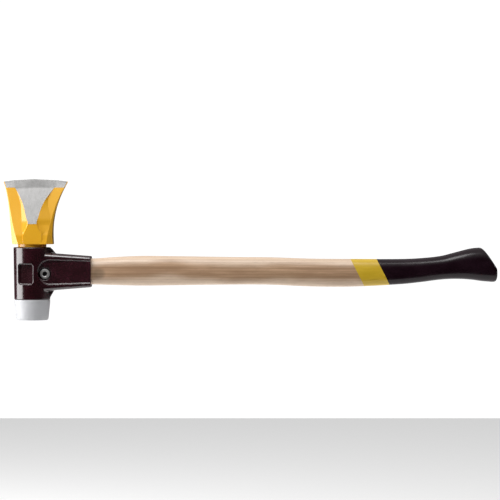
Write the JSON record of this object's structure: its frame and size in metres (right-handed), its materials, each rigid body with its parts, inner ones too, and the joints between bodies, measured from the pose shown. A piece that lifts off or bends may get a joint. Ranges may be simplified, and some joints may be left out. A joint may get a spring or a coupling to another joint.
{
  "type": "splitting maul",
  "caption": "Splitting maul with a clamped two-part head, forged wedge, plastic striking insert and curved hickory handle with a dark coated grip.",
  "frame": {"origin": "on the flat striking face of the plastic insert, 0.8 mm from its centre", "axes": "+X along the handle towards the butt, +Z from the striking face to the cutting edge, +Y through the thickness, away from the clamp screw head"},
  "size_m": [0.8332, 0.0632, 0.2381],
  "materials": {
    "housing_paint": "gloss dark maroon paint on a casting",
    "wedge_paint": "gloss yellow powder coat, edge and centre face ground bright",
    "insert_plastic": "satin pale plastic",
    "zinc": "zinc plated",
    "spring_steel": "oiled spring steel",
    "nut_steel": "zinc plated",
    "hickory": "smooth clear-oiled hickory with a dark heartwood streak",
    "band_paint": "yellow paint layer on wood",
    "grip_paint": "glossy dark dipped coating"
  },
  "bodies": {
    "body": {"housing_near_half": "housing_paint", "lock_washer": "spring_steel", "handle": "hickory", "signal_band": "band_paint", "grip_coating": "grip_paint"},
    "clamp_half": {"housing_far_half": "housing_paint", "clamp_nut": "nut_steel"},
    "screw": {"clamp_screw": "zinc"},
    "wedge": {"splitting_wedge": "wedge_paint"},
    "insert": {"striking_insert": "insert_plastic"}
  },
  "joints": [
    {"name": "clamp_screw_turn", "type": "hinge", "parent": "body", "child": "screw", "pos_m": [0.0215, 0, 0.0786], "axis": [0, -1, 0], "range_deg": [0, 720]},
    {"name": "clamp_open", "type": "slide", "parent": "body", "child": "clamp_half", "axis": [0, 1, 0], "range_m": [0, 0.003]},
    {"name": "wedge_draw", "type": "slide", "parent": "body", "child": "wedge", "axis": [0, 0, 1], "range_m": [0, 0.04]},
    {"name": "insert_draw", "type": "slide", "parent": "body", "child": "insert", "axis": [0, 0, -1], "range_m": [0, 0.042]}
  ],
  "couplings": [
    {"joint": "clamp_screw_turn", "follows": "clamp_open", "rad_per_m": 4188.8}
  ]
}
